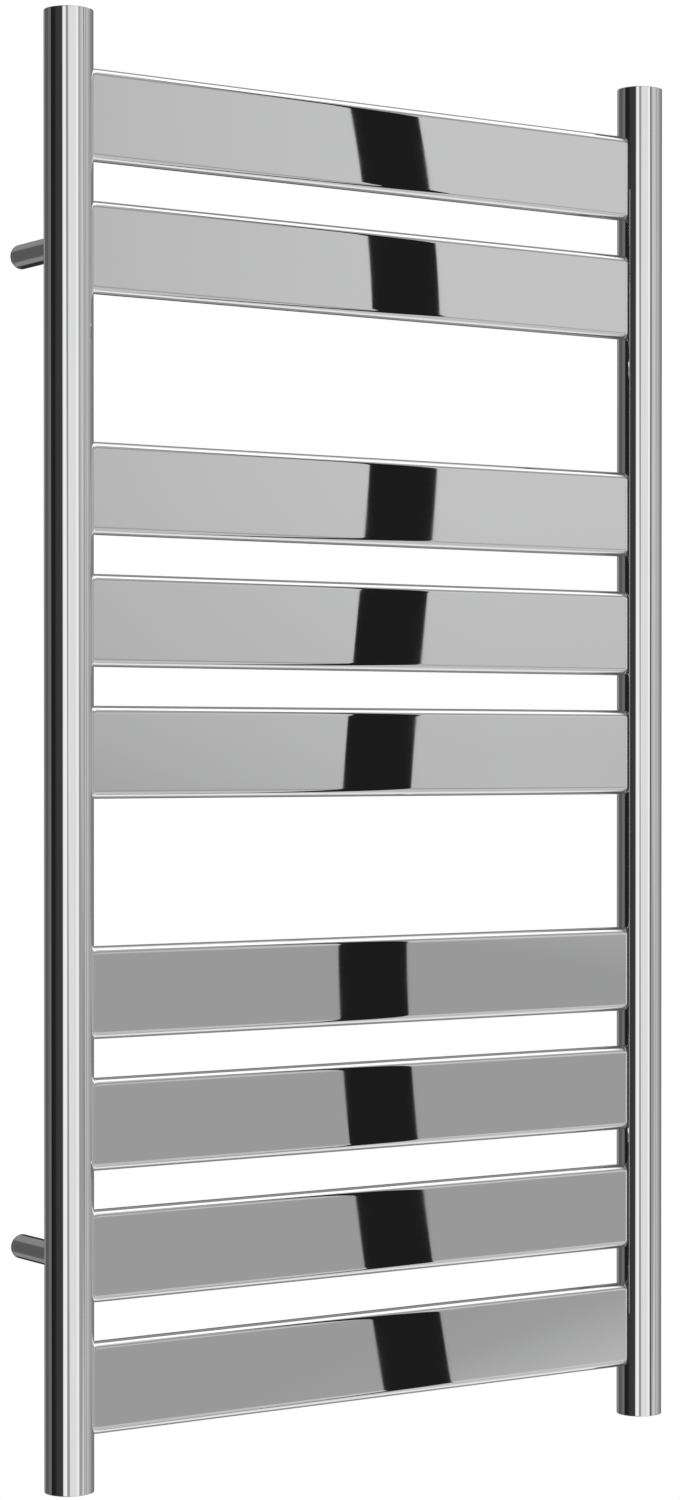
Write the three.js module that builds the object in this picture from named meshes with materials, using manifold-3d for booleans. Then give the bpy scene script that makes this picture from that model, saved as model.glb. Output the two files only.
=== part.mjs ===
// Wall-hung towel warmer: two round collectors joined by nine flat-oval rails, on four wall brackets.
// Millimetres, +Z up. The origin is on the wall, midway between the four brackets; the front is -Y.
import * as THREE from "three";
import { mergeVertices } from "three/addons/utils/BufferGeometryUtils.js";
import Module from "manifold-3d";

const wasm = await Module();
wasm.setup();

// Whole rack
const HEIGHT = 950;
const WIDTH = 500;
const WALL_TO_AXIS = 64; // wall face to the plane of the collector axes and rail middles

// Collector tubes
const TUBE_D = 32;
const TUBE_WALL = 1.5;
const TUBE_CHAMFER = 0.6;
const PORT_HEIGHT = 44; // water slot behind each rail
const PORT_WIDTH = 6;
const PORT_STEPS = 4; // steps in each half circle of a slot's ends

// Rails, listed as the number in each group from the top down
const RAIL_GROUPS = [2, 3, 4];
const RAIL_HEIGHT = 60;
const RAIL_THICKNESS = 10;
const RAIL_WALL = 1.2;
const RAIL_GAP = 25;
const GROUP_GAP = 95;
const END_MARGIN = 35;

// Wall brackets
const BRACKET_FROM_END = 150;
const SLEEVE_D = 16;
const SLEEVE_BORE = 12.6;
const FOOT_LENGTH = 3; // disc of the wall post that lies on the wall
const POST_D = 12;
const POST_LENGTH = 38;
const POST_CHAMFER = 1;
const STUD_HOLE_D = 5; // tapping size of the M6 thread that takes the stud in the wall
const STUD_HOLE_DEPTH = 20;
const GRUB_D = 5;
const GRUB_LENGTH = 3.2;
const GRUB_FROM_WALL = 11;
const GRUB_POINT = 0.6; // bevel at the tip
const GRUB_CHAMFER = 0.3;
const GRUB_HEX = 2.5;
const GRUB_HEX_DEPTH = 1.8;

// Threaded end bosses (G 1/2) and what screws into the upper ones
const BOSS_LENGTH = 18;
const THREAD_D = 20.9;
const INLET_BORE = 18.6;
const TOP_RECESS = 3.4; // how far the upper boss lies below the tube end
const SEAT_D = 24; // counterbore that holds the O-ring
const SEAT_DEPTH = 2.4;
const SEAL_SECTION = 2.4; // thickness of the O-ring
const PLUG_FLANGE_D = 26;
const PLUG_FLANGE = 2.8;
const FLANGE_CHAMFER = 0.5;
const PLUG_SHANK = 11;
const PLUG_CHAMFER = 0.8;
const PLUG_NECK_D = 17;
const PLUG_HEX = 10;
const PLUG_HEX_DEPTH = 8;
const BLEED_D = 7;
const BLEED_LENGTH = 9;
const BLEED_CONE = 2;
const BLEED_SLOT = 1.4;
const BLEED_SLOT_DEPTH = 1.6;
const VENT_HOLE_D = 3;

const GAP = 0.3; // clearance that touching pieces keep
const OVERCUT = 1; // how far a cutting tool runs past a face
const MERGE_WITHIN = 1e-4; // points closer than this are one

const TUBE_SIDES = 48;
const PLUG_SIDES = 32;
const PIN_SIDES = 24;
const SMALL_SIDES = 16;
const SEAL_STEPS = 8; // round the O-ring's section
const EDGE_STEPS = 10; // steps in each half circle of a rail's section

const axisX = (WIDTH - TUBE_D) / 2;
const topZ = HEIGHT / 2;
const SIDES = [["left", -1], ["right", 1]];
const LEVELS = [["upper", 1], ["lower", -1]];

// ---------- solids ----------

function toSolid(geometry) {
  const bare = geometry.clone();
  bare.deleteAttribute("normal");
  bare.deleteAttribute("uv");
  const merged = mergeVertices(bare, MERGE_WITHIN);
  return new wasm.Manifold(new wasm.Mesh({
    numProp: 3,
    vertProperties: new Float32Array(merged.attributes.position.array),
    triVerts: new Uint32Array(merged.index.array),
  }));
}

function toGeometry(solid) {
  const mesh = solid.getMesh();
  const geometry = new THREE.BufferGeometry();
  geometry.setAttribute("position", new THREE.BufferAttribute(mesh.vertProperties, 3));
  geometry.setIndex(new THREE.BufferAttribute(mesh.triVerts, 1));
  geometry.computeVertexNormals();
  return geometry;
}

function cut(geometry, ...tools) {
  return toGeometry(tools.reduce((solid, tool) => solid.subtract(toSolid(tool)), toSolid(geometry)));
}

// Solid of revolution about Z from [radius, z] points, given upwards along the outside.
function turned(points, sides) {
  const profile = points.map(([radius, z]) => new THREE.Vector2(radius, z));
  return new THREE.LatheGeometry(profile, sides).rotateX(Math.PI / 2);
}

function rod(radius, z0, z1, sides) {
  return turned([[0, z0], [radius, z0], [radius, z1], [0, z1]], sides);
}

function ring(inner, outer, z0, z1, sides) {
  return turned([[inner, z0], [outer, z0], [outer, z1], [inner, z1], [inner, z0]], sides);
}

// Turns a shape made along Z so that its +Z end points along +Y, towards the wall.
function towardsWall(geometry) {
  return geometry.rotateX(-Math.PI / 2);
}

function flatOval(path, height, thickness, steps) {
  const radius = thickness / 2;
  const straight = height / 2 - radius;
  for (const end of [1, -1]) {
    for (let i = 0; i <= steps; i += 1) {
      const angle = (end > 0 ? 0 : Math.PI) + (Math.PI * i) / steps;
      const x = radius * Math.cos(angle);
      const y = end * straight + radius * Math.sin(angle);
      if (end > 0 && i === 0) {
        path.moveTo(x, y);
      } else {
        path.lineTo(x, y);
      }
    }
  }
  path.closePath();
  return path;
}

// Bar with a flat-oval section (height along Z), centred on x = 0 and running along X.
function ovalBar(length, height, thickness, steps, hole) {
  const shape = flatOval(new THREE.Shape(), height, thickness, steps);
  if (hole) {
    shape.holes.push(flatOval(new THREE.Path(), hole.height, hole.thickness, steps));
  }
  const geometry = new THREE.ExtrudeGeometry(shape, { depth: length, bevelEnabled: false });
  return geometry.translate(0, 0, -length / 2).rotateX(Math.PI / 2).rotateZ(Math.PI / 2);
}

function hexPrism(acrossFlats, z0, z1) {
  return new THREE.CylinderGeometry(
    acrossFlats / Math.sqrt(3), acrossFlats / Math.sqrt(3), z1 - z0, 6,
  ).rotateX(Math.PI / 2).translate(0, 0, (z0 + z1) / 2);
}

// ---------- materials ----------

function chrome() {
  return new THREE.MeshStandardMaterial({ color: 0xd9dbde, roughness: 0.06, metalness: 1 });
}

function steel() {
  return new THREE.MeshStandardMaterial({ color: 0x9a9da1, roughness: 0.35, metalness: 1 });
}

function brass() {
  return new THREE.MeshStandardMaterial({ color: 0xc9b27a, roughness: 0.3, metalness: 1 });
}

function rubber() {
  return new THREE.MeshStandardMaterial({ color: 0x1b1c1e, roughness: 0.8, metalness: 0 });
}

function part(name, geometry, material) {
  const mesh = new THREE.Mesh(geometry, material);
  mesh.name = name;
  return mesh;
}

// ---------- layout ----------

// Heights of the rail middles, from the top rail down.
function railHeights() {
  const heights = [];
  let top = topZ - END_MARGIN;
  for (const count of RAIL_GROUPS) {
    for (let i = 0; i < count; i += 1) {
      heights.push(top - RAIL_HEIGHT / 2);
      top -= RAIL_HEIGHT + (i < count - 1 ? RAIL_GAP : GROUP_GAP);
    }
  }
  return heights;
}

// ---------- collectors and rails ----------

// Collector tube about its own axis, with a water slot facing `inward` behind each rail.
function collectorGeometry(inward) {
  const outer = TUBE_D / 2;
  const inner = outer - TUBE_WALL;
  const tube = turned([
    [inner, -topZ],
    [outer - TUBE_CHAMFER, -topZ],
    [outer, -topZ + TUBE_CHAMFER],
    [outer, topZ - TUBE_CHAMFER],
    [outer - TUBE_CHAMFER, topZ],
    [inner, topZ],
    [inner, -topZ],
  ], TUBE_SIDES);
  const slots = railHeights().map((z) =>
    ovalBar(outer, PORT_HEIGHT, PORT_WIDTH, PORT_STEPS).translate(inward * outer, 0, z));
  return cut(tube, ...slots);
}

// Hollow rail whose ends are coped to the collectors.
function railGeometry() {
  const reach = 2 * axisX;
  const bore = { height: RAIL_HEIGHT - 2 * RAIL_WALL, thickness: RAIL_THICKNESS - 2 * RAIL_WALL };
  const bar = ovalBar(reach, RAIL_HEIGHT, RAIL_THICKNESS, EDGE_STEPS, bore);
  const copes = SIDES.map(([, side]) =>
    rod(TUBE_D / 2 + GAP, -RAIL_HEIGHT, RAIL_HEIGHT, TUBE_SIDES).translate(side * axisX, 0, 0));
  return cut(bar, ...copes);
}

// ---------- end bosses and plugs ----------

const bossRadius = TUBE_D / 2 - TUBE_WALL - GAP;

function inletBoss() {
  return ring(INLET_BORE / 2, bossRadius, -topZ, -topZ + BOSS_LENGTH, PLUG_SIDES);
}

// Upper boss with a wider seat for the O-ring; its face is at z = 0.
function topBoss() {
  const bore = THREAD_D / 2;
  return turned([
    [bore, -BOSS_LENGTH],
    [bossRadius, -BOSS_LENGTH],
    [bossRadius, 0],
    [SEAT_D / 2, 0],
    [SEAT_D / 2, -SEAT_DEPTH],
    [bore, -SEAT_DEPTH],
    [bore, -BOSS_LENGTH],
  ], PLUG_SIDES);
}

// Plug with its flange just above z = 0 and its shank below.
function plugBlank() {
  const shank = THREAD_D / 2 - GAP;
  return turned([
    [0, -PLUG_SHANK],
    [shank - PLUG_CHAMFER, -PLUG_SHANK],
    [shank, -PLUG_SHANK + PLUG_CHAMFER],
    [shank, -SEAT_DEPTH - GAP],
    [PLUG_NECK_D / 2, -SEAT_DEPTH - GAP],
    [PLUG_NECK_D / 2, GAP],
    [PLUG_FLANGE_D / 2, GAP],
    [PLUG_FLANGE_D / 2, PLUG_FLANGE - FLANGE_CHAMFER],
    [PLUG_FLANGE_D / 2 - FLANGE_CHAMFER, PLUG_FLANGE],
    [0, PLUG_FLANGE],
  ], PLUG_SIDES);
}

function ventPlug() {
  const floor = PLUG_FLANGE - BLEED_LENGTH - GAP;
  const pocket = rod(BLEED_D / 2 + GAP, floor, PLUG_FLANGE + OVERCUT, SMALL_SIDES);
  const vent = rod(VENT_HOLE_D / 2, -PLUG_SHANK - OVERCUT, floor + GAP, SMALL_SIDES);
  return cut(plugBlank(), pocket, vent);
}

function blankingPlug() {
  return cut(plugBlank(), hexPrism(PLUG_HEX, PLUG_FLANGE - PLUG_HEX_DEPTH, PLUG_FLANGE + OVERCUT));
}

function bleedScrew() {
  const tip = PLUG_FLANGE - BLEED_LENGTH;
  const body = turned([
    [0, tip],
    [VENT_HOLE_D / 2, tip],
    [BLEED_D / 2, tip + BLEED_CONE],
    [BLEED_D / 2, PLUG_FLANGE],
    [0, PLUG_FLANGE],
  ], SMALL_SIDES);
  const slot = new THREE.BoxGeometry(2 * BLEED_D, BLEED_SLOT, 2 * BLEED_SLOT_DEPTH)
    .translate(0, 0, PLUG_FLANGE);
  return cut(body, slot);
}

// O-ring round the plug's neck, halfway between the boss's seat and the plug's flange.
function plugSeal() {
  const middle = (PLUG_NECK_D + SEAT_D) / 4;
  return new THREE.TorusGeometry(middle, SEAL_SECTION / 2, SEAL_STEPS, PIN_SIDES)
    .translate(0, 0, (GAP - SEAT_DEPTH) / 2);
}

// ---------- wall brackets, made along Z with the wall at z = 0 and the rack at -z ----------

function sleeveGeometry(inward) {
  const sleeve = ring(
    SLEEVE_BORE / 2, SLEEVE_D / 2, -WALL_TO_AXIS, -FOOT_LENGTH - GAP, PIN_SIDES,
  );
  const cope = rod(TUBE_D / 2 + GAP, -SLEEVE_D, SLEEVE_D, TUBE_SIDES)
    .rotateX(Math.PI / 2)
    .translate(0, 0, -WALL_TO_AXIS);
  const grubHole = rod(GRUB_D / 2 + GAP / 2, 0, SLEEVE_D, SMALL_SIDES)
    .rotateY(inward * Math.PI / 2)
    .translate(0, 0, -GRUB_FROM_WALL);
  return cut(sleeve, cope, grubHole);
}

function postGeometry() {
  const nose = -FOOT_LENGTH - POST_LENGTH;
  const post = turned([
    [0, nose],
    [POST_D / 2 - POST_CHAMFER, nose],
    [POST_D / 2, nose + POST_CHAMFER],
    [POST_D / 2, -FOOT_LENGTH],
    [SLEEVE_D / 2, -FOOT_LENGTH],
    [SLEEVE_D / 2, 0],
    [0, 0],
  ], PIN_SIDES);
  return cut(post, rod(STUD_HOLE_D / 2, -STUD_HOLE_DEPTH, OVERCUT, SMALL_SIDES));
}

// Socket set screw along Z, its socket at the top, its tip just clear of the post.
function grubGeometry() {
  const tip = POST_D / 2 + GAP / 2;
  const end = tip + GRUB_LENGTH;
  const body = turned([
    [0, tip],
    [GRUB_D / 2 - GRUB_POINT, tip],
    [GRUB_D / 2, tip + GRUB_POINT],
    [GRUB_D / 2, end - GRUB_CHAMFER],
    [GRUB_D / 2 - GRUB_CHAMFER, end],
    [0, end],
  ], SMALL_SIDES);
  return cut(body, hexPrism(GRUB_HEX, end - GRUB_HEX_DEPTH, end + OVERCUT));
}

function bracket(side, sideSign, level, levelSign) {
  const group = new THREE.Group();
  const inward = -sideSign;
  const sleeve = towardsWall(sleeveGeometry(inward));
  const post = towardsWall(postGeometry());
  const grub = grubGeometry().rotateY(inward * Math.PI / 2).translate(0, -GRUB_FROM_WALL, 0);
  group.add(part(`bracket_sleeve_${level}_${side}`, sleeve, chrome()));
  group.add(part(`wall_post_${level}_${side}`, post, chrome()));
  group.add(part(`grub_screw_${level}_${side}`, grub, steel()));
  group.position.set(sideSign * axisX, 0, levelSign * (topZ - BRACKET_FROM_END));
  return group;
}

// ---------- assembly ----------

const rack = new THREE.Group();

for (const [side, sign] of SIDES) {
  const column = new THREE.Group();
  column.position.set(sign * axisX, -WALL_TO_AXIS, 0);
  column.add(part(`collector_${side}`, collectorGeometry(-sign), chrome()));
  column.add(part(`inlet_boss_${side}`, inletBoss(), brass()));

  const head = new THREE.Group();
  head.position.z = topZ - TOP_RECESS;
  head.add(part(`top_boss_${side}`, topBoss(), brass()));
  head.add(part(`plug_seal_${side}`, plugSeal(), rubber()));
  if (side === "left") {
    head.add(part("vent_plug", ventPlug(), chrome()));
    head.add(part("bleed_screw", bleedScrew(), brass()));
  } else {
    head.add(part("blanking_plug", blankingPlug(), chrome()));
  }
  column.add(head);
  rack.add(column);

  for (const [level, levelSign] of LEVELS) {
    rack.add(bracket(side, sign, level, levelSign));
  }
}

railHeights().forEach((z, index) => {
  const rail = part(`rail_${index + 1}`, railGeometry(), chrome());
  rail.position.set(0, -WALL_TO_AXIS, z);
  rack.add(rail);
});

export default rack;
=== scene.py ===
"""Chrome towel warmer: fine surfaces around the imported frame, in a soft studio."""

import math

import bmesh
import bpy
from mathutils import Euler, Matrix, Vector


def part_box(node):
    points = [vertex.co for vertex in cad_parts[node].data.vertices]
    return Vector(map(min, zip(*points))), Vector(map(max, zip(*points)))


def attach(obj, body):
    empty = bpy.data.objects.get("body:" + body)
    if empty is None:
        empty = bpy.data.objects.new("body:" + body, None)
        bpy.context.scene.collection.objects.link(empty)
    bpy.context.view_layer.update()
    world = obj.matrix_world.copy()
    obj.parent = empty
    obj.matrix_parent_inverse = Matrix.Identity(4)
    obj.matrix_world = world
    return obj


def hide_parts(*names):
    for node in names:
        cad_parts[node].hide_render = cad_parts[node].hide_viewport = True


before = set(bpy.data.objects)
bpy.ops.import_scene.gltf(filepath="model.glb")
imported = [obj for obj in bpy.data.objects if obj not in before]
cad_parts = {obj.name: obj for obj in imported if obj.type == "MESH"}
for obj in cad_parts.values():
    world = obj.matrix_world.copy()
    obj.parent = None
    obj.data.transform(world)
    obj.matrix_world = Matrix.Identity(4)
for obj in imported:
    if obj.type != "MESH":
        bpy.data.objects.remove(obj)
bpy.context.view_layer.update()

MM = 0.001
SHARP = math.radians(35)  # edges that turn more than this aren't shaded smooth


# ---------- places, from the frame ----------

SIDES = (("left", -1), ("right", 1))
LEVELS = (("upper", 1), ("lower", -1))
RAILS = sorted(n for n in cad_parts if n.startswith("rail_"))


def centre(node):
    """Middle of a node's box."""
    low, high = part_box(node)
    return (Vector(low) + Vector(high)) / 2


def extent(node):
    """Size of a node's box."""
    low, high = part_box(node)
    return Vector(high) - Vector(low)


tube_size = extent("collector_left")
tube_radius = tube_size.x / 2
top_z = centre("collector_left").z + tube_size.z / 2
axis_x = centre("collector_right").x
axis_y = centre("collector_right").y
rail_size = extent("rail_1")

TUBE_WALL = 1.5 * MM
BRAZE = 0.15 * MM  # rails and sleeves reach this far into a collector's skin
BOSS_FIT = 0.05 * MM  # clearance between a collector's bore and its bosses
PIPE_PITCH = 1.814 * MM  # G 1/2


# ---------- meshes ----------

def carve(mesh, cutters):
    """Cuts closed shapes, each its points and faces, out of a closed mesh."""
    block = bpy.data.objects.new("block", mesh)
    bpy.context.scene.collection.objects.link(block)
    tools = []
    for points, faces in cutters:
        shape = bpy.data.meshes.new("tool")
        shape.from_pydata([tuple(p) for p in points], [], faces)
        tool = bpy.data.objects.new("tool", shape)
        bpy.context.scene.collection.objects.link(tool)
        cut = block.modifiers.new("cut", "BOOLEAN")
        cut.operation = "DIFFERENCE"
        cut.solver = "EXACT"
        cut.object = tool
        tools.append(tool)
    carved = bpy.data.meshes.new_from_object(block.evaluated_get(bpy.context.evaluated_depsgraph_get()))
    for scrap in [block, *tools]:
        bpy.data.objects.remove(scrap)
    return carved


def make_piece(name, solid, material, body, nodes, cutters=()):
    """One piece of the rack from its points and faces, riding on a body in place of CAD nodes."""
    points, faces = solid
    mesh = bpy.data.meshes.new(name)
    mesh.from_pydata([tuple(p) for p in points], [], faces)
    shape = bmesh.new()
    shape.from_mesh(mesh)
    bmesh.ops.recalc_face_normals(shape, faces=shape.faces)
    shape.to_mesh(mesh)
    shape.free()
    if cutters:
        mesh = carve(mesh, cutters)
        mesh.name = name
    for face in mesh.polygons:
        face.use_smooth = True
    mesh.set_sharp_from_angle(angle=SHARP)
    mesh.materials.clear()
    mesh.materials.append(material)
    piece = bpy.data.objects.new(name, mesh)
    bpy.context.scene.collection.objects.link(piece)
    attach(piece, body)
    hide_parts(*nodes)
    return piece


def placed(solid, place):
    """A solid's points moved by a matrix, with its faces as they are."""
    points, faces = solid
    return [place @ p for p in points], faces


def arc(middle, radius, start, end, steps):
    """Points of a circular arc from one angle to another, in degrees."""
    angles = [math.radians(start + (end - start) * i / steps) for i in range(steps + 1)]
    return [(middle[0] + radius * math.cos(a), middle[1] + radius * math.sin(a)) for a in angles]


def rounded_corner(point, radius, start, steps=4):
    """Quarter circle that rounds an outside corner; start is the direction it leaves from."""
    turn = math.radians(start)
    along, across = math.cos(turn), math.sin(turn)
    middle = (point[0] - radius * (along - across), point[1] - radius * (across + along))
    return arc(middle, radius, start, start + 90, steps)


def hexagon(across_flats):
    """Reach of a hexagon at each turn, for revolve."""
    sector = math.pi / 3
    return lambda turn: across_flats / 2 / math.cos((turn + sector / 2) % sector - sector / 2)


def thread(minor, major, pitch, low, high):
    """Profile of a V thread for revolve: rows whose reach rises and falls along a helix, cut a
    little flat at crest and root."""
    rows_per_turn, slope, cut = 6, 1.25, 0.125
    rows = max(2, round((high - low) / pitch * rows_per_turn))

    def row(height):
        def reach(turn):
            phase = (height / pitch - turn / (2 * math.pi)) % 1
            return minor + (major - minor) * min(1, max(0, slope * (1 - abs(2 * phase - 1)) - cut))
        return reach, height

    return [row(low + (high - low) * i / rows) for i in range(rows + 1)]


def revolve(profile, steps, closed=False):
    """Solid about Z from (reach, height) points that run upwards along its outside; closed joins
    the last to the first. A reach is a radius, or a function that gives it at each turn."""
    points, faces, rings = [], [], []
    for reach, height in profile:
        if reach == 0:
            rings.append([len(points)])
            points.append(Vector((0, 0, height)))
            continue
        rings.append([len(points) + i for i in range(steps)])
        for i in range(steps):
            turn = 2 * math.pi * i / steps
            radius = reach(turn) if callable(reach) else reach
            points.append(Vector((radius * math.cos(turn), radius * math.sin(turn), height)))
    pairs = list(zip(rings, rings[1:])) + ([(rings[-1], rings[0])] if closed else [])
    for low, high in pairs:
        for i in range(steps):
            j = (i + 1) % steps
            if len(low) == 1:
                faces.append((low[0], high[j], high[i]))
            elif len(high) == 1:
                faces.append((low[i], low[j], high[0]))
            else:
                faces.append((low[i], low[j], high[j], high[i]))
    return points, faces


def flat_oval(height, thickness, steps, support):
    """Section with fully rounded ends as (y, z) points; support keeps its flats flat."""
    radius = thickness / 2
    straight = height / 2 - radius
    inner = straight - support
    points = arc((0, straight), radius, 0, 180, steps)
    points += [(-radius, inner), (-radius, -inner)]
    points += arc((0, -straight), radius, 180, 360, steps)
    points += [(radius, -inner), (radius, inner)]
    return points


def shell(outer, inner):
    """Closed tube wall between matching outer and inner loops, each a list of end-to-end rows."""
    count = len(outer[0])
    rows = outer + inner[::-1]
    points = [p for row in rows for p in row]
    faces = []
    for r in range(len(rows)):
        a, b = r * count, ((r + 1) % len(rows)) * count
        for i in range(count):
            j = (i + 1) % count
            faces.append((a + i, b + i, b + j, a + j))
    return points, faces


# ---------- materials ----------

def new_material(name):
    """A material with its nodes, links and shader."""
    material = bpy.data.materials.new(name)
    material.use_nodes = True
    nodes = material.node_tree.nodes
    return material, nodes, material.node_tree.links, nodes["Principled BSDF"]


def noise(nodes, links, scale, detail, stretch=(1, 1, 1)):
    """Noise that is fixed to the object."""
    place = nodes.new("ShaderNodeTexCoord")
    mapping = nodes.new("ShaderNodeMapping")
    mapping.inputs["Scale"].default_value = stretch
    texture = nodes.new("ShaderNodeTexNoise")
    texture.inputs["Scale"].default_value = scale
    texture.inputs["Detail"].default_value = detail
    links.new(place.outputs["Object"], mapping.inputs["Vector"])
    links.new(mapping.outputs["Vector"], texture.inputs["Vector"])
    return texture.outputs["Fac"]


def remap(nodes, links, value, low, high):
    """Spreads the middle of a noise's range between two values."""
    scale = nodes.new("ShaderNodeMapRange")
    scale.inputs["From Min"].default_value = 0.3
    scale.inputs["From Max"].default_value = 0.7
    scale.inputs["To Min"].default_value = low
    scale.inputs["To Max"].default_value = high
    links.new(value, scale.inputs["Value"])
    return scale.outputs["Result"]


def add_bump(nodes, links, shader, value, distance, strength):
    """Lets a value raise and lower a shader's surface."""
    bump = nodes.new("ShaderNodeBump")
    bump.inputs["Distance"].default_value = distance
    bump.inputs["Strength"].default_value = strength
    links.new(value, bump.inputs["Height"])
    links.new(bump.outputs["Normal"], shader.inputs["Normal"])


def metal(name, colour, smooth, rough, grain, stretch=(1, 1, 1), bump=0.0):
    """Metal whose roughness wanders between two values, with a faint grain in its surface."""
    material, nodes, links, shader = new_material(name)
    shader.inputs["Base Color"].default_value = (*colour, 1)
    shader.inputs["Metallic"].default_value = 1
    wander = noise(nodes, links, grain, detail=6, stretch=stretch)
    links.new(remap(nodes, links, wander, smooth, rough), shader.inputs["Roughness"])
    if bump:
        fine = noise(nodes, links, grain * 4, detail=3, stretch=stretch)
        add_bump(nodes, links, shader, fine, bump, strength=0.3)
    return material


def seal_rubber():
    """Matt black rubber."""
    material, nodes, links, shader = new_material("seal_rubber")
    shader.inputs["Base Color"].default_value = (0.018, 0.018, 0.02, 1)
    wander = noise(nodes, links, scale=900, detail=4)
    links.new(remap(nodes, links, wander, low=0.55, high=0.75), shader.inputs["Roughness"])
    add_bump(nodes, links, shader, wander, distance=0.05 * MM, strength=0.5)
    return material


CHROME = metal("polished_chrome", (0.82, 0.822, 0.826), smooth=0.012, rough=0.03, grain=14)
STEEL = metal("plated_steel", (0.62, 0.63, 0.65), smooth=0.22, rough=0.34, grain=160, bump=0.02 * MM)
BRASS = metal("turned_brass", (0.72, 0.58, 0.33), smooth=0.2, rough=0.32, grain=220,
              stretch=(1, 1, 12), bump=0.02 * MM)
RUBBER = seal_rubber()


# ---------- collectors and rails ----------

def column_place(sign, height):
    """Stands a shape made along Z in a collector."""
    return Matrix.Translation((sign * axis_x, axis_y, height))


def make_collectors():
    """Open tubes with lightly broken edges."""
    edge, inner_edge, support = 0.2 * MM, 0.2 * MM, 0.45 * MM
    outer, inner = tube_radius, tube_radius - TUBE_WALL
    low, high = -top_z, top_z
    profile = rounded_corner((outer, low), edge, -90)
    profile += [(outer, low + support), (outer, high - support)]
    profile += rounded_corner((outer, high), edge, 0)
    profile += [(inner + inner_edge, high), (inner, high - inner_edge), (inner, high - support)]
    profile += [(inner, low + support), (inner, low + inner_edge), (inner + inner_edge, low)]
    tube = revolve(profile, steps=128, closed=True)
    for side, sign in SIDES:
        make_piece(f"collector_tube_{side}", placed(tube, column_place(sign, 0)), CHROME,
                   "rack", [f"collector_{side}"])


def make_rails():
    """Hollow bars whose ends follow the collectors, with rounded corners and edges there."""
    wall = 1.2 * MM
    edge = 0.5 * MM
    corner, corner_length = 1.3 * MM, 3 * MM
    corner_steps, round_steps, support = 10, 24, 0.6 * MM
    height, thickness = rail_size.z, rail_size.y
    reach = tube_radius - BRAZE

    def row(sign, gap, from_top, from_face):
        """Points round the bar at a gap from the collector, on one side."""
        section = flat_oval(height - 2 * from_top, thickness - 2 * from_face, round_steps, support)
        return [Vector((sign * (axis_x - math.sqrt(reach**2 - y**2) - gap), y, z)) for y, z in section]

    def end(sign):
        """Rows from the collector to where the corner's rounding has run out."""
        rows = []
        for i in range(corner_steps + 1):
            turn = math.pi / 2 * i / corner_steps
            gap = corner_length * (1 - math.cos(turn))
            from_face = edge - math.sqrt(edge**2 - (edge - min(gap, edge)) ** 2)
            rows.append(row(sign, gap, corner * (1 - math.sin(turn)), from_face))
        return rows

    straight = [row(sign, 2 * corner_length, 0, 0) for sign in (-1, 1)]
    inner = [row(sign, 0, wall + corner, wall + edge) for sign in (-1, 1)]
    rail = shell(end(-1) + straight + end(1)[::-1], inner)
    for node in RAILS:
        middle = centre(node)
        place = Matrix.Translation((0, middle.y, middle.z))
        make_piece(f"flat_{node}", placed(rail, place), CHROME, "rack", [node])


# ---------- wall brackets ----------

def bracket_frame(sign, level_sign):
    """Stands a shape made along Z on the wall: its +Z points into the wall at a bracket."""
    z = level_sign * abs(centre("bracket_sleeve_upper_left").z)
    turn = Euler((-math.pi / 2, 0, 0)).to_matrix().to_4x4()
    return Matrix.Translation((sign * axis_x, 0, z)) @ turn


def grub_place(level, side, sign):
    """Lays a shape made along Z in a bracket's grub screw hole: +Z points out of the sleeve."""
    middle = centre(f"grub_screw_{level}_{side}")
    turn = Euler((0, -sign * math.pi / 2, 0)).to_matrix().to_4x4()
    return Matrix.Translation((sign * axis_x, middle.y, middle.z)) @ turn


def make_sleeves():
    """Tubes from the collectors to the posts, each with a countersunk hole for its grub screw."""
    radius = extent("bracket_sleeve_upper_left").x / 2
    bore = 6.3 * MM
    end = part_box("bracket_sleeve_upper_left")[1][1] + 0.2 * MM
    edge, support = 0.12 * MM, 0.4 * MM
    steps = 72
    reach = tube_radius - BRAZE

    def ring(size, z):
        turns = [2 * math.pi * i / steps for i in range(steps)]
        return [Vector((size * math.cos(turn), size * math.sin(turn), z)) for turn in turns]

    def coped(size):
        """Ring that lies on the collector."""
        return [Vector((p.x, p.y, axis_y + math.sqrt(reach**2 - p.x**2))) for p in ring(size, 0)]

    outer = [coped(radius), ring(radius, end - support)]
    outer += [ring(size, z) for size, z in rounded_corner((radius, end), edge, 0)]
    sleeve = shell(outer, [coped(bore), ring(bore, end)])

    hole, countersink = 2.65 * MM, 3.3 * MM
    inside, rim_low, rim_high, outside = 4 * MM, 7.6 * MM, 8.2 * MM, 12 * MM
    drill = revolve([(0, inside), (hole, inside), (hole, rim_low), (countersink, rim_high),
                     (countersink, outside), (0, outside)], steps=48)
    for level, level_sign in LEVELS:
        for side, sign in SIDES:
            make_piece(f"wall_sleeve_{level}_{side}", placed(sleeve, bracket_frame(sign, level_sign)),
                       CHROME, "rack", [f"bracket_sleeve_{level}_{side}"],
                       [placed(drill, grub_place(level, side, sign))])


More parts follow.
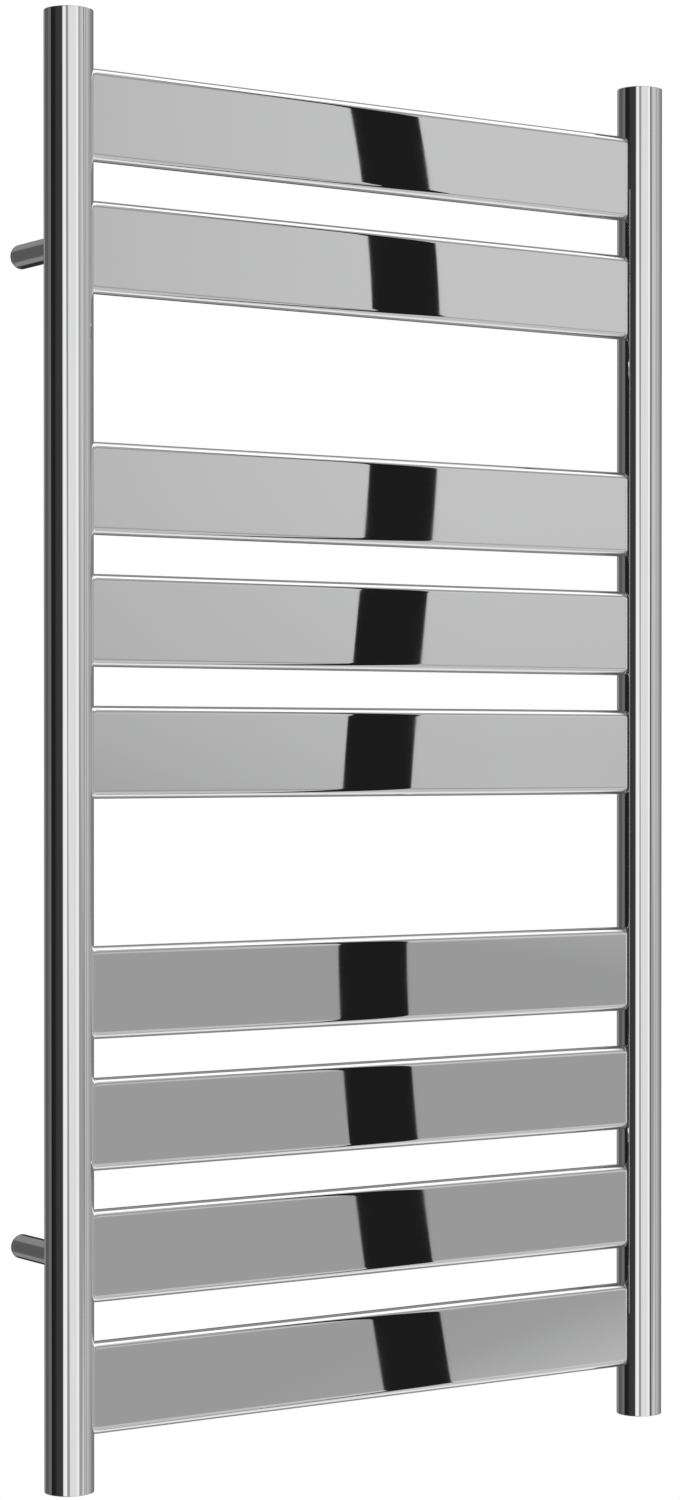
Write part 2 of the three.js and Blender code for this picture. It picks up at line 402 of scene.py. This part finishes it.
def make_posts():
    """Pins that slide in the sleeves, each with a foot and a blind M6 hole for the wall's stud."""
    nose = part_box("wall_post_upper_left")[0][1]
    pin, nose_round = 6 * MM, 1 * MM
    foot, shoulder, shoulder_round, foot_round = 8 * MM, -3 * MM, 0.12 * MM, 0.3 * MM
    support = 2 * MM
    minor, major, pitch = 2.5 * MM, 3 * MM, 1 * MM
    chamfer, chamfer_depth = 0.1 * MM, 0.3 * MM
    thread_low, thread_high = -9 * MM, -0.6 * MM
    hole_end, drill_point = -19 * MM, -20.5 * MM
    profile = [(0, nose), *rounded_corner((pin, nose), nose_round, -90)]
    profile += [(pin, shoulder - support), (pin, shoulder)]
    profile += rounded_corner((foot, shoulder), shoulder_round, -90)
    profile += rounded_corner((foot, 0), foot_round, 0)
    profile += [(major + chamfer, 0), (major, -chamfer_depth)]
    profile += thread(minor, major, pitch, thread_low, thread_high)[::-1]
    profile += [(minor, hole_end), (0, drill_point)]
    post = revolve(profile, steps=48)
    for level, level_sign in LEVELS:
        for side, sign in SIDES:
            name = f"wall_post_{level}_{side}"
            make_piece(f"turned_{name}", placed(post, bracket_frame(sign, level_sign)), CHROME,
                       name, [name])


def make_grub_screws():
    """Socket set screws with a cup point. Heights are measured from the sleeve's axis."""
    minor, major, pitch = 2.05 * MM, 2.5 * MM, 0.8 * MM
    tip, end = 6.15 * MM, 9.35 * MM
    cup, cup_depth, point = 1.2 * MM, 0.7 * MM, 1.5 * MM
    point_length, run_in, run_out = 0.5 * MM, 0.6 * MM, 0.4 * MM
    crown, face = 2.2 * MM, 1.75 * MM
    socket, socket_chamfer, socket_depth, socket_point = 2.5 * MM, 0.15 * MM, 1.8 * MM, 2.2 * MM
    profile = [(0, tip + cup_depth), (cup, tip), (point, tip), (minor, tip + point_length)]
    profile += thread(minor, major, pitch, tip + run_in, end - run_out)
    profile += [(crown, end), (face, end), (hexagon(socket + 0.2 * MM), end)]
    profile += [(hexagon(socket), end - socket_chamfer), (hexagon(socket), end - socket_depth)]
    profile += [(0, end - socket_point)]
    screw = revolve(profile, steps=48)
    for level, _ in LEVELS:
        for side, sign in SIDES:
            name = f"grub_screw_{level}_{side}"
            make_piece(f"socket_{name}", placed(screw, grub_place(level, side, sign)), STEEL,
                       name, [name])


# ---------- end bosses, plugs and bleed screw ----------

def make_inlet_bosses():
    """Ends with the pipe thread that the valves screw into."""
    low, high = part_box("inlet_boss_left")[0][2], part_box("inlet_boss_left")[1][2]
    outer = tube_radius - TUBE_WALL - BOSS_FIT
    minor, major = 9.32 * MM, 10.48 * MM
    face = low + 0.1 * MM
    edge, run_in, run_out = 0.3 * MM, 1.1 * MM, 1 * MM
    mouth, mouth_chamfer, mouth_depth = major + 0.1 * MM, 0.7 * MM, 0.7 * MM
    profile = [*rounded_corner((outer, face), edge, -90), (outer, high), (major + 0.2 * MM, high)]
    profile += thread(minor, major, PIPE_PITCH, face + run_in, high - run_out)[::-1]
    profile += [(mouth, face + mouth_depth), (mouth + mouth_chamfer, face)]
    boss = revolve(profile, steps=72, closed=True)
    for side, sign in SIDES:
        make_piece(f"threaded_boss_{side}", placed(boss, column_place(sign, 0)), BRASS,
                   "rack", [f"inlet_boss_{side}"])


def make_top_bosses():
    """Ends with a seat for the plug's seal, a little below the collector's end."""
    outer = tube_radius - TUBE_WALL - BOSS_FIT
    bore, seat, seat_depth, length = 10.45 * MM, 12 * MM, 2.4 * MM, 18 * MM
    edge = 0.3 * MM
    profile = [(outer, -length), *rounded_corner((outer, 0), edge, 0)]
    profile += [(seat + edge, 0), (seat, -edge), (seat, -seat_depth), (bore, -seat_depth)]
    profile += [(bore, -length)]
    boss = revolve(profile, steps=72, closed=True)
    for side, sign in SIDES:
        place = column_place(sign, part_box(f"top_boss_{side}")[1][2])
        make_piece(f"seat_boss_{side}", placed(boss, place), BRASS,
                   "rack", [f"top_boss_{side}"])


def make_seals():
    """O-rings between the plugs' flanges and their seats."""
    for side, sign in SIDES:
        size = extent(f"plug_seal_{side}")
        section = size.z / 2
        loop = arc((size.x / 2 - section, 0), section, -90, 246, 15)  # revolve joins its ends
        ring = revolve(loop, steps=72, closed=True)
        place = column_place(sign, centre(f"plug_seal_{side}").z)
        make_piece(f"o_ring_{side}", placed(ring, place), RUBBER,
                   "rack", [f"plug_seal_{side}"])


PLUG_BASE, PLUG_TOP = -11 * MM, 2.8 * MM  # from the boss's face


def plug_profile():
    """A plug from the middle of its lower end to the rim of its flange; the boss's face is at 0."""
    minor, major, neck, flange = 9.25 * MM, 10.15 * MM, 8.5 * MM, 13 * MM
    chamfer, step, under = 0.5 * MM, -2.7 * MM, 0.3 * MM
    under_round, top_round, thread_end = 0.25 * MM, 0.6 * MM, 0.8 * MM
    profile = [(0, PLUG_BASE), (minor, PLUG_BASE), (major - chamfer, PLUG_BASE + chamfer)]
    profile += thread(minor, major, PIPE_PITCH, PLUG_BASE + thread_end, step - thread_end)
    profile += [(major - 0.6 * MM, step), (neck, step), (neck, under)]
    profile += rounded_corner((flange, under), under_round, -90)
    profile += rounded_corner((flange, PLUG_TOP), top_round, 0)
    return profile


def make_blanking_plug():
    """Plug with a hexagon socket, drilled to a blunt point."""
    socket, chamfer, chamfer_depth, depth, point = 10 * MM, 0.4 * MM, 0.4 * MM, 8 * MM, 10 * MM
    face, inner_face = 9 * MM, 7 * MM
    profile = plug_profile()
    profile += [(face, PLUG_TOP), (inner_face, PLUG_TOP), (hexagon(socket + 2 * chamfer), PLUG_TOP)]
    profile += [(hexagon(socket), PLUG_TOP - chamfer_depth), (hexagon(socket), PLUG_TOP - depth)]
    profile += [(0, PLUG_TOP - point)]
    place = column_place(1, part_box("top_boss_right")[1][2])
    make_piece("hexagon_blanking_plug", placed(revolve(profile, steps=96), place), CHROME,
               "rack", ["blanking_plug"])


def make_vent_plug():
    """Plug whose pocket holds the bleed screw, with a fine hole under it."""
    pocket, chamfer, hole, pocket_floor = 3.8 * MM, 0.5 * MM, 1.5 * MM, -6.5 * MM
    profile = [(hole, PLUG_BASE), *plug_profile()[1:]]
    profile += [(pocket + chamfer, PLUG_TOP), (pocket, PLUG_TOP - chamfer)]
    profile += [(pocket, pocket_floor), (hole, pocket_floor)]
    place = column_place(-1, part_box("top_boss_left")[1][2])
    make_piece("drilled_vent_plug", placed(revolve(profile, steps=96, closed=True), place), CHROME,
               "rack", ["vent_plug"])


def make_bleed_screw():
    """Slotted screw with a cone that closes the vent hole."""
    low, high = (Vector(corner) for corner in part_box("bleed_screw"))
    radius, length = (high.x - low.x) / 2, high.z - low.z
    minor, pitch = radius - 0.5 * MM, 1 * MM
    tip, cone, thread_gap, head, head_round = 1.5 * MM, 2 * MM, 0.2 * MM, 1.8 * MM, 0.4 * MM
    profile = [(0, 0), (tip, 0), (minor, cone)]
    profile += thread(minor, radius, pitch, cone + thread_gap, length - head - 2 * thread_gap)
    profile += [(minor, length - head - thread_gap), (radius, length - head)]
    profile += [*rounded_corner((radius, length), head_round, 0), (0, length)]

    half, depth, reach = 0.7 * MM, 1.6 * MM, 2 * radius
    corners = [Vector((x, y, z)) for z in (length - depth, length + depth)
               for x, y in ((-reach, -half), (reach, -half), (reach, half), (-reach, half))]
    sides = [(0, 3, 2, 1), (4, 5, 6, 7)] + [(i, (i + 1) % 4, 4 + (i + 1) % 4, 4 + i) for i in range(4)]
    place = column_place(-1, low.z)
    make_piece("slotted_bleed_screw", placed(revolve(profile, steps=48), place), BRASS,
               "bleed_screw", ["bleed_screw"], [placed((corners, sides), place)])


make_collectors()
make_rails()
make_sleeves()
make_posts()
make_grub_screws()
make_inlet_bosses()
make_top_bosses()
make_seals()
make_blanking_plug()
make_vent_plug()
make_bleed_screw()


# ---------- studio ----------

def ring_stops():
    """Brightness of the studio at eye level by direction in degrees: 0 is the room in front of
    the rack, 90 is to its right and 180 is the wall behind it."""
    behind_left = [(-180, 0.32), (-174, 0.3), (-168, 0.12), (-143, 0.105), (-133, 0.175), (-121, 0.17)]
    unlit_left = [(-117, 0.015), (-101, 0.015), (-93, 0.026), (-86, 0.044), (-58, 0.048)]
    left_panel = [(-56, 0.9), (-49, 1.03), (-40, 1.02), (-28, 0.9)]
    front_panel = [(-24, 0.86), (4, 0.86), (7, 1.02), (16.5, 1.0)]
    right_wall = [(18, 0.4), (24, 0.45), (30, 0.58), (36, 0.664), (50, 0.65), (53.5, 0.62)]
    doorway = [(55.5, 0.38), (60, 0.38)]
    far_wall = [(62, 0.62), (66, 0.6), (72, 0.5), (82, 0.42), (93, 0.31), (105, 0.23), (137, 0.19)]
    behind_right = [(140, 0.03), (156, 0.03), (162, 0.2), (172, 0.3), (180, 0.32)]
    return [*behind_left, *unlit_left, *left_panel, *front_panel,
            *right_wall, *doorway, *far_wall, *behind_right]


def dome_stops():
    """Brightness above and below eye level by the angle in an upright plane that runs from front
    to back: 0 is the room in front, 90 is overhead, 180 is the wall and -90 is the floor."""
    return [
        (-180, 0.27), (-150, 0.27), (-105, 0.32), (-96, 0.32), (-92, 0.95), (-70, 0.97), (-60, 0.8),
        (-44, 0.6), (0, 0.6), (12, 0.55), (17, 0.36), (32, 0.36), (45, 0.62), (52, 1.3),
        (97, 1.3), (105, 0.35), (150, 0.27), (180, 0.27),
    ]


def build_studio(nodes, links):
    """What the metal mirrors: a ring of soft panels, with more overhead and underfoot."""

    def math_node(operation, *values):
        node = nodes.new("ShaderNodeMath")
        node.operation = operation
        for socket, value in zip(node.inputs, values):
            if isinstance(value, (int, float)):
                socket.default_value = value
            else:
                links.new(value, socket)
        return node.outputs[0]

    def ramp(value, stops, low, high):
        """Brightness by value, where stops are (value, brightness) between low and high."""
        node = nodes.new("ShaderNodeValToRGB")
        share = math_node("DIVIDE", math_node("SUBTRACT", value, low), high - low)
        links.new(share, node.inputs["Fac"])
        elements = node.color_ramp.elements
        while len(elements) < len(stops):
            elements.new(0.5)
        for element, (at, brightness) in zip(elements, stops):
            element.position = (at - low) / (high - low)
            element.color = (brightness, brightness, brightness, 1)
        return node.outputs["Color"]

    def mix(first, second, share=None, blend="MIX"):
        """Second over first by share, or all of it, with a Mix node's blend type."""
        node = nodes.new("ShaderNodeMix")
        node.data_type = "RGBA"
        node.blend_type = blend
        node.clamp_result = False
        if share is None:
            node.inputs["Factor"].default_value = 1
        else:
            links.new(share, node.inputs["Factor"])
        for socket, value in zip((node.inputs[6], node.inputs[7]), (first, second)):
            if isinstance(value, (int, float)):
                socket.default_value = (value, value, value, 1)
            else:
                links.new(value, socket)
        return node.outputs[2]

    place = nodes.new("ShaderNodeTexCoord")
    split = nodes.new("ShaderNodeSeparateXYZ")
    links.new(place.outputs["Generated"], split.inputs[0])
    x, y, z = split.outputs
    azimuth = math_node("DEGREES", math_node("ARCTAN2", x, math_node("MULTIPLY", y, -1)))
    elevation = math_node("DEGREES", math_node("ARCSINE", z))
    pitch = math_node("DEGREES", math_node("ARCTAN2", z, math_node("MULTIPLY", y, -1)))

    def around(stops):
        return ramp(azimuth, stops, -180, 180)

    def tilted(slope, middle):
        """Elevation measured from a line that climbs with the direction."""
        climb = math_node("MULTIPLY", math_node("SUBTRACT", azimuth, middle), slope)
        return math_node("SUBTRACT", elevation, climb)

    gap_grey, unlit_grey, corner_grey = 0.36, 0.12, 0.03

    # the panels' upright edges at the right lean a little
    lean = math_node("MULTIPLY", elevation, around([(-10, 0), (10, 0.06), (60, 0.06), (70, 0)]))
    leaned = math_node("ADD", azimuth, lean)
    left_half = ramp(leaned, [stop for stop in ring_stops() if stop[0] < 0], -180, 180)
    right_half = ramp(leaned, [stop for stop in ring_stops() if stop[0] > 0], -180, 180)
    ring = mix(left_half, right_half, around([(-1, 0), (1, 1)]))

    # grey gap between two panels, narrowest at eye level
    gap_middle = math_node("MULTIPLY_ADD", elevation, -0.14, -34.4)
    gap_width = math_node("MULTIPLY_ADD", math_node("ABSOLUTE", elevation), 0.3, 2.7)
    across = math_node("DIVIDE", math_node("SUBTRACT", azimuth, gap_middle), gap_width)
    gap = ramp(math_node("ABSOLUTE", across), [(0.8, 1), (1.15, 0)], 0, 2)
    ring = mix(ring, gap_grey, gap)

    # the right-hand wall dims towards eye level and is grey below, with a pool of light at its foot
    wall = around([(17, 0), (21, 1), (44, 1), (48, 0)])
    dimmed = ramp(elevation, [(0, 0.885), (4.5, 1)], -90, 90)
    ring = mix(ring, mix(ring, dimmed, blend="MULTIPLY"), wall)
    lower = ramp(tilted(0.38, 38.4), [(-11.5, 0.72), (-9, 0.389)], -90, 90)
    below = ramp(tilted(-0.19, 30), [(-2.1, 1), (0.3, 0)], -90, 90)
    ring = mix(ring, lower, mix(wall, below, blend="MULTIPLY"))

    # overhead and floor panels, unlit to the left; the ring reaches further up and down behind
    reach = math_node("ABSOLUTE", elevation)
    taller = around([(-176, 0), (-170, 8), (-150, 8), (-144, 0), (136, 0), (140, 12), (156, 12), (160, 0)])
    off_level = ramp(math_node("SUBTRACT", reach, taller), [(13, 0), (18, 1)], 0, 90)
    unlit = around([(-165, 0), (-145, 1), (-40, 1), (-12, 0)])
    dome = mix(ramp(pitch, dome_stops(), -180, 180), unlit_grey, unlit)
    room = mix(ring, dome, off_level)

    # dark corner at the foot of the wall, behind and to the right
    corner = ramp(elevation, [(-36, 0), (-32, 1), (-15, 1), (-10, 0)], -90, 90)
    beside = around([(138, 0), (141, 1), (171, 1), (175, 0)])
    return mix(room, corner_grey, mix(corner, beside, blend="MULTIPLY"))


def make_world():
    """White for the eye and for matt surfaces, the studio for mirror ones."""
    world = bpy.data.worlds.new("studio")
    bpy.context.scene.world = world
    world.use_nodes = True
    nodes, links = world.node_tree.nodes, world.node_tree.links
    nodes.clear()
    ray = nodes.new("ShaderNodeLightPath")
    plain = nodes.new("ShaderNodeBackground")
    plain.inputs["Color"].default_value = (1, 1, 1, 1)
    mirrored = nodes.new("ShaderNodeBackground")
    links.new(build_studio(nodes, links), mirrored.inputs["Color"])
    choose = nodes.new("ShaderNodeMixShader")
    links.new(ray.outputs["Is Glossy Ray"], choose.inputs[0])
    links.new(plain.outputs[0], choose.inputs[1])
    links.new(mirrored.outputs[0], choose.inputs[2])
    output = nodes.new("ShaderNodeOutputWorld")
    links.new(choose.outputs[0], output.inputs["Surface"])


def make_flag():
    """Black cloth strip in front of the rack, which shows as a dark wavering band in its bars."""
    middle, front, half_width = 0.5185, -0.8, 39 * MM
    bottom, top, steps = -1.7, 1.7, 160
    swing, wave, start = 20.5 * MM, 1.13, 0.118
    bend, bend_end = -0.2, 0.7
    points, faces = [], []
    for i in range(steps + 1):
        z = bottom + (top - bottom) * i / steps
        sway = swing * math.sin(2 * math.pi * (z - start) / wave)
        drift = bend * max(-bend_end, min(bend_end, z)) ** 5
        x = middle + sway + drift
        points += [(x - half_width, front, z), (x + half_width, front, z)]
        if i:
            a = 2 * i
            faces.append((a - 2, a - 1, a + 1, a))
    mesh = bpy.data.meshes.new("flag")
    mesh.from_pydata(points, [], faces)
    material = bpy.data.materials.new("flag_cloth")
    material.use_nodes = True
    cloth = material.node_tree.nodes
    cloth.clear()
    glow = cloth.new("ShaderNodeEmission")
    glow.inputs["Color"].default_value = (0.013, 0.013, 0.013, 1)
    out = cloth.new("ShaderNodeOutputMaterial")
    material.node_tree.links.new(glow.outputs[0], out.inputs["Surface"])
    mesh.materials.append(material)
    flag = bpy.data.objects.new("flag", mesh)
    bpy.context.scene.collection.objects.link(flag)
    flag.visible_camera = False
    flag.visible_diffuse = False
    flag.visible_shadow = False


def make_overhead():
    """Large softbox over the rack, a little to its front."""
    brightness = 1.3
    light = bpy.data.lights.new("overhead", "AREA")
    light.shape = "SQUARE"
    light.size = 2.6
    light.energy = brightness * math.pi * light.size**2
    lamp = bpy.data.objects.new("overhead", light)
    lamp.location = (0.2, -0.85, 2.6)
    bpy.context.scene.collection.objects.link(lamp)
    lamp.visible_camera = False
    lamp.visible_glossy = False


def make_floor():
    """Pale floor under the rack, which fades into the white at its rim."""
    radius, level, steps = 3.4, -2.5, 96
    fade_start, fade_end = 0.5, radius - 0.1
    points = [(0, 0, 0)] + [(radius * math.cos(2 * math.pi * i / steps),
                             radius * math.sin(2 * math.pi * i / steps), 0) for i in range(steps)]
    faces = [(0, 1 + i, 1 + (i + 1) % steps) for i in range(steps)]
    mesh = bpy.data.meshes.new("floor")
    mesh.from_pydata(points, [], faces)
    material, nodes, links, shader = new_material("pale_floor")
    shader.inputs["Base Color"].default_value = (0.86, 0.86, 0.85, 1)
    shader.inputs["Roughness"].default_value = 0.7
    grain = noise(nodes, links, scale=40, detail=5)
    add_bump(nodes, links, shader, grain, distance=0.3 * MM, strength=0.2)
    place = nodes.new("ShaderNodeTexCoord")
    distance = nodes.new("ShaderNodeVectorMath")
    distance.operation = "LENGTH"
    links.new(place.outputs["Object"], distance.inputs[0])
    fade = nodes.new("ShaderNodeMapRange")
    fade.interpolation_type = "SMOOTHSTEP"
    fade.inputs["From Min"].default_value = fade_start
    fade.inputs["From Max"].default_value = fade_end
    links.new(distance.outputs["Value"], fade.inputs["Value"])
    white = nodes.new("ShaderNodeEmission")
    blend = nodes.new("ShaderNodeMixShader")
    links.new(fade.outputs["Result"], blend.inputs[0])
    links.new(shader.outputs[0], blend.inputs[1])
    links.new(white.outputs[0], blend.inputs[2])
    links.new(blend.outputs[0], nodes["Material Output"].inputs["Surface"])
    mesh.materials.append(material)
    floor = bpy.data.objects.new("floor", mesh)
    bpy.context.scene.collection.objects.link(floor)
    floor.location = (0, axis_y, level)
    floor.visible_glossy = False


make_world()
make_flag()
make_overhead()
make_floor()


# ---------- camera ----------

def make_camera():
    """At the height of the rack's middle, to its left, with a long lens that dips a little."""
    turn, dip = math.radians(33.786), math.radians(0.42)
    lift = 0.0015  # in sensor widths, on top of what makes up for the dip
    camera = bpy.data.cameras.new("camera")
    camera.lens = 81.02
    camera.sensor_width = 36
    camera.shift_y = lift + camera.lens / camera.sensor_width * math.tan(dip)
    camera.clip_start = 0.05
    eye = bpy.data.objects.new("camera", camera)
    eye.location = (-1.2938, -1.9607, 0)
    eye.rotation_euler = (math.pi / 2 - dip, 0, -turn)
    bpy.context.scene.collection.objects.link(eye)
    bpy.context.scene.camera = eye


make_camera()
bpy.context.scene.view_settings.view_transform = "Standard"
